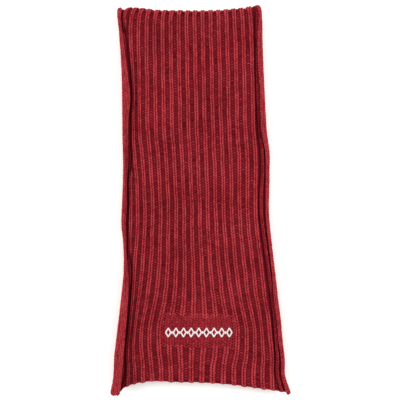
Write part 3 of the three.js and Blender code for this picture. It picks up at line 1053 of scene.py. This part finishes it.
def layer_place(layer, rib, share):
    """Where a rib of one layer lies, from side to side and along, at a share of its length."""
    ends = read_table(ENDS, rib)
    near = np.maximum(ends["hem"], LAYERS_NEAR) + layer["hem"]
    far = ends["fold"] - TURN_OUTER - layer["fold"]
    return across_field(station(share * FLAT_LENGTH), rib), near + (far - near) * share


# %% The path of the strip
def split_run(run):
    """The number of the stretch that a place of the run is on, and the share of it that is done."""
    part = np.minimum(np.floor(run), STRIP_PARTS - 1).astype(int)
    return part, run - part


def strip_place(rib, run, height):
    """Points of the strip. run counts its five stretches: upper layer, inner fold, middle layer,
    hem fold, lowest layer. height is measured from its middle, to the side that starts upwards."""
    rib, run, height = np.broadcast_arrays(*(np.asarray(v, float) for v in (rib, run, height)))
    part, t = split_run(run)
    x2, y2 = layer_place(LAYERS[2], rib, np.where(part == 0, t, 1.0))
    x1, y1 = layer_place(LAYERS[1], rib, np.where(part == 2, 1 - t, np.where(part < 2, 1.0, 0.0)))
    x0, y0 = layer_place(LAYERS[0], rib, np.where(part == 4, t, 0.0))
    inner, hem = BEND + height, BEND - height
    turn = math.pi * t
    inner_y = y2 * (1 - t) + y1 * t + inner * np.sin(turn)
    hem_y = y1 * (1 - t) + y0 * t - hem * np.sin(turn)
    inner_z = LEVELS[1] + BEND + inner * np.cos(turn)
    hem_z = LEVELS[0] + BEND + hem * np.cos(turn)
    x = np.choose(part, [x2, x2, x1, x1, x0])
    y = np.choose(part, [y2, inner_y, y1, hem_y, y0])
    z = np.choose(part, [LEVELS[2] + height, inner_z, LEVELS[1] - height, hem_z, LEVELS[0] + height])
    return np.stack([x, y, z], axis=-1)


# %% The strip's sections
def strip_edges(run):
    """The strip's left and right edge lines, as ribs, at one place of its run."""
    part, t = split_run(run)
    share = [t, 1.0, 1 - t, 0.0, t][part]
    before, after = [2, 2, 1, 1, 0][part], [2, 1, 1, 0, 0][part]
    mix = t if part in (1, 3) else 0.0
    pairs = zip(layer_bounds(LAYERS[before], share), layer_bounds(LAYERS[after], share))
    return [float(a * (1 - mix) + b * mix) for a, b in pairs]


def strip_ring(run):
    """One section of the strip: its top, its right edge, its underside and its left edge."""
    left, right = strip_edges(run)
    ribs = np.linspace(left, right, RIB_STEPS)
    depth = STRIP_HALF - STRIP_VALLEY * (0.5 - 0.5 * np.cos(2 * math.pi * ribs))
    right_round = strip_place(right, run, STRIP_HALF * np.cos(EDGE_TURNS))
    left_round = strip_place(left, run, -STRIP_HALF * np.cos(EDGE_TURNS))
    right_round[:, 0] += STRIP_HALF * np.sin(EDGE_TURNS)
    left_round[:, 0] -= STRIP_HALF * np.sin(EDGE_TURNS)
    under = strip_place(ribs[::-1], run, -depth[::-1])
    return np.concatenate([strip_place(ribs, run, depth), right_round, under, left_round])


# %% The layers' cloth
counts = [FOLD_RINGS if part % 2 else FLAT_RINGS for part in range(STRIP_PARTS)]
stretches = [np.linspace(part, part + 1, count)[:-1] for part, count in enumerate(counts)]
rings = [strip_ring(run) for run in np.concatenate([*stretches, [STRIP_PARTS]])]
around = len(rings[0])
this = np.arange(around)
after = (this + 1) % around
faces = [
    face
    for r in range(len(rings) - 1)
    for face in (np.stack([this, after, after + around, this + around], axis=-1) + r * around).tolist()
]
faces.append(this[::-1].tolist())
faces.append((this + (len(rings) - 1) * around).tolist())
points = np.concatenate(rings)
shades = np.full(len(points), STRIP_SHADE)
hidden = new_piece(
    "folded_layers", points, faces, shade_painted_wool, "hidden_layers", shades
)

# %% Stitches on the edges of the hidden layers
LAYER_EDGE_LEG = leg(inner=0.35, outer=1.75, rows=1.5, dive=0.8, radius=0.95)
LAYER_LEG_DEPTH, LAYER_TONE = 0.35, 0.75
LAYER_FROM, LAYER_TO = 3, FLAT_LENGTH - 2
FOLD_RIBS = range(-8, 8)
FIRST_FOLD_ROW = 1.6
FOLD_ROWS = FIRST_FOLD_ROW + ROW * np.arange(3)
FOLD_LEG_DEPTH = 0.6


def edge_surface(level, side):
    """The rounded side edge of a layer: across goes up it, along starts at its hem end."""

    def place(across, along, height):
        share = along / FLAT_LENGTH
        line = layer_bounds(LAYERS[level], share)[0 if side < 0 else 1]
        x, y = layer_place(LAYERS[level], line, share)
        turn = across / STRIP_HALF
        out = STRIP_HALF + height
        return np.stack([x + side * out * np.cos(turn), y, LEVELS[level] + out * np.sin(turn)], axis=-1)

    return place


def hem_fold_surface(across, along, height):
    """The outside of the fold at the hem end: along goes round it and then on below."""
    past = np.maximum(along - HEM_ROUND, 0)
    run = HEM_FOLD_PART + np.minimum(along, HEM_ROUND) / HEM_ROUND + past / FLAT_LENGTH
    return strip_place(across / RIB_PITCH, run, -STRIP_HALF - height)


# %% Laying the layers' stitches
yarn = Yarn()
for level in range(len(LAYERS)):
    for side in (-1, 1):
        along = np.arange(LAYER_FROM, LAYER_TO, ROW)
        for length in (LAYER_EDGE_LEG, mirrored(LAYER_EDGE_LEG)):
            places = strayed("layer", len(along), 0, along, -LAYER_LEG_DEPTH, LAYER_TONE)
            yarn.lay(length, edge_surface(level, side), *places, gap_aware=False)
for rib in FOLD_RIBS:
    for length in (RIB_LEG, mirrored(RIB_LEG)):
        across = rib * RIB_PITCH
        yarn.lay(length, hem_fold_surface, across, FOLD_ROWS, -FOLD_LEG_DEPTH, LAYER_TONE, gap_aware=False)
yarn.piece("layer_edge_stitches", brick_wool, "knit_red_shaded", "hidden_layers")

# %% [markdown]
# ## Embroidery on the patch
# The patch carries a band of white satin stitch. A traditional border of open lozenges with a
# small full one between each two keeps the colour, the size and the weight of stroke of such a
# band. Satin stitch is a row of short threads laid side by side across a stroke, in a shiny
# thread, so each stroke is made of just such threads, in the same way as the yarn. The thread's
# filaments are some 0.02 mm thick, too fine to show, so the streaks are drawn three to a
# millimetre along the thread.

# %% Embroidery thread
STREAKS_PER_MM = 3.0

thread, tree = new_material("white_embroidery_thread")
thread_map = add_node(tree, "ShaderNodeUVMap", uv_map="yarn").outputs["UV"]
filaments = add_node(tree, "ShaderNodeTexNoise", {"Vector": thread_map, "Scale": STREAKS_PER_MM})
tint = add_node(tree, "ShaderNodeValToRGB", {"Fac": filaments.outputs["Fac"]})
tint.color_ramp.elements[0].color = linear("#CFC6C4")
tint.color_ramp.elements[1].color = linear("#F1ECEA")
streak_sockets = {"Height": filaments.outputs["Fac"], "Strength": 0.3, "Distance": 0.0001}
streaks = add_node(tree, "ShaderNodeBump", streak_sockets)
surface = add_node(
    tree,
    "ShaderNodeBsdfPrincipled",
    {
        "Base Color": tint.outputs["Color"],
        "Roughness": 0.45,
        "Specular IOR Level": 0.4,
        "Normal": streaks.outputs["Normal"],
    },
)
add_node(tree, "ShaderNodeOutputMaterial", {"Surface": surface.outputs["BSDF"]})

# %% A border of lozenges in satin stitch
BAND_LEFT, BAND_RIGHT, BAND_Y = -41.2, 38.2, -172.9
LOZENGES = 9
LOZENGE_WIDE, LOZENGE_TALL = 3.35, 5.6
DOT_WIDE, DOT_TALL, DOT_TIP = 0.75, 1.5, 0.4
STROKE = 0.85
THREAD_PITCH = 0.55
THREAD_RADIUS = 0.4
THREAD_HEIGHT, THREAD_STRAY = 3.55, 0.05
THREAD_DIVE = 0.9
THREAD_SHADE = 0.5
BAND_SAMPLES = 200


def satin_thread(half, slope):
    """A thread across a stroke that runs at the slope given, in radians from the hem line."""
    t = np.array([-1, -0.85, -0.45, 0, 0.45, 0.85, 1])
    lift = -THREAD_DIVE * t**4
    path = np.stack([-half * t * math.sin(slope), half * t * math.cos(slope), lift], axis=1)
    even = np.array([0, 0.8, 1, 1, 1, 0.8, 0])
    return yarn_length(path, THREAD_RADIUS * even)


def band_surface(x, up, height):
    """The patch in plain millimetres: x from side to side, up from the middle of the band."""
    ribs = np.linspace(PATCH_LEFT - 1, PATCH_RIGHT + 1, BAND_SAMPLES)
    middle = np.full(len(ribs), (PATCH_FROM + PATCH_TO) / 2)
    rib = np.interp(x, across_field(station(middle), ribs), ribs)
    ends = read_table(ENDS, rib)
    along = (BAND_Y + up - ends["hem"]) / (ends["fold"] - TURN_OUTER - ends["hem"]) * FLAT_LENGTH
    return leaf_place(rib, along, height)


# %% Sewing the border
def satin_stroke(yarn, start, end):
    """Threads side by side along a straight stroke."""
    run = np.subtract(end, start)
    count = int(np.hypot(*run) / THREAD_PITCH) + 1
    thread_shape = satin_thread(STROKE, math.atan2(run[1], run[0]))
    places = np.linspace(start, end, count)
    height = THREAD_HEIGHT + jitter(count, THREAD_STRAY)
    x, up = places[:, 0], places[:, 1]
    yarn.lay(thread_shape, band_surface, x, up, height, THREAD_SHADE, gap_aware=False)


def full_lozenge(yarn, middle):
    """Level threads one above the other, the longest in the middle."""
    for up in np.arange(-DOT_TALL, DOT_TALL + 0.01, THREAD_PITCH):
        half = DOT_TIP + DOT_WIDE * (1 - abs(up) / (DOT_TALL + THREAD_PITCH))
        thread_shape = satin_thread(half, -math.pi / 2)
        yarn.lay(thread_shape, band_surface, middle, up, THREAD_HEIGHT, THREAD_SHADE, gap_aware=False)


yarn = Yarn()
middles = np.linspace(BAND_LEFT, BAND_RIGHT, LOZENGES)
for middle in middles:
    left, right = (middle - LOZENGE_WIDE, 0), (middle + LOZENGE_WIDE, 0)
    top, foot = (middle, LOZENGE_TALL), (middle, -LOZENGE_TALL)
    for start, end in ((left, top), (top, right), (right, foot), (foot, left)):
        satin_stroke(yarn, start, end)
for middle in (middles[1:] + middles[:-1]) / 2:
    full_lozenge(yarn, middle)
embroidery = yarn.piece("embroidered_lozenges", thread, "embroidery_white", "front_leaf")
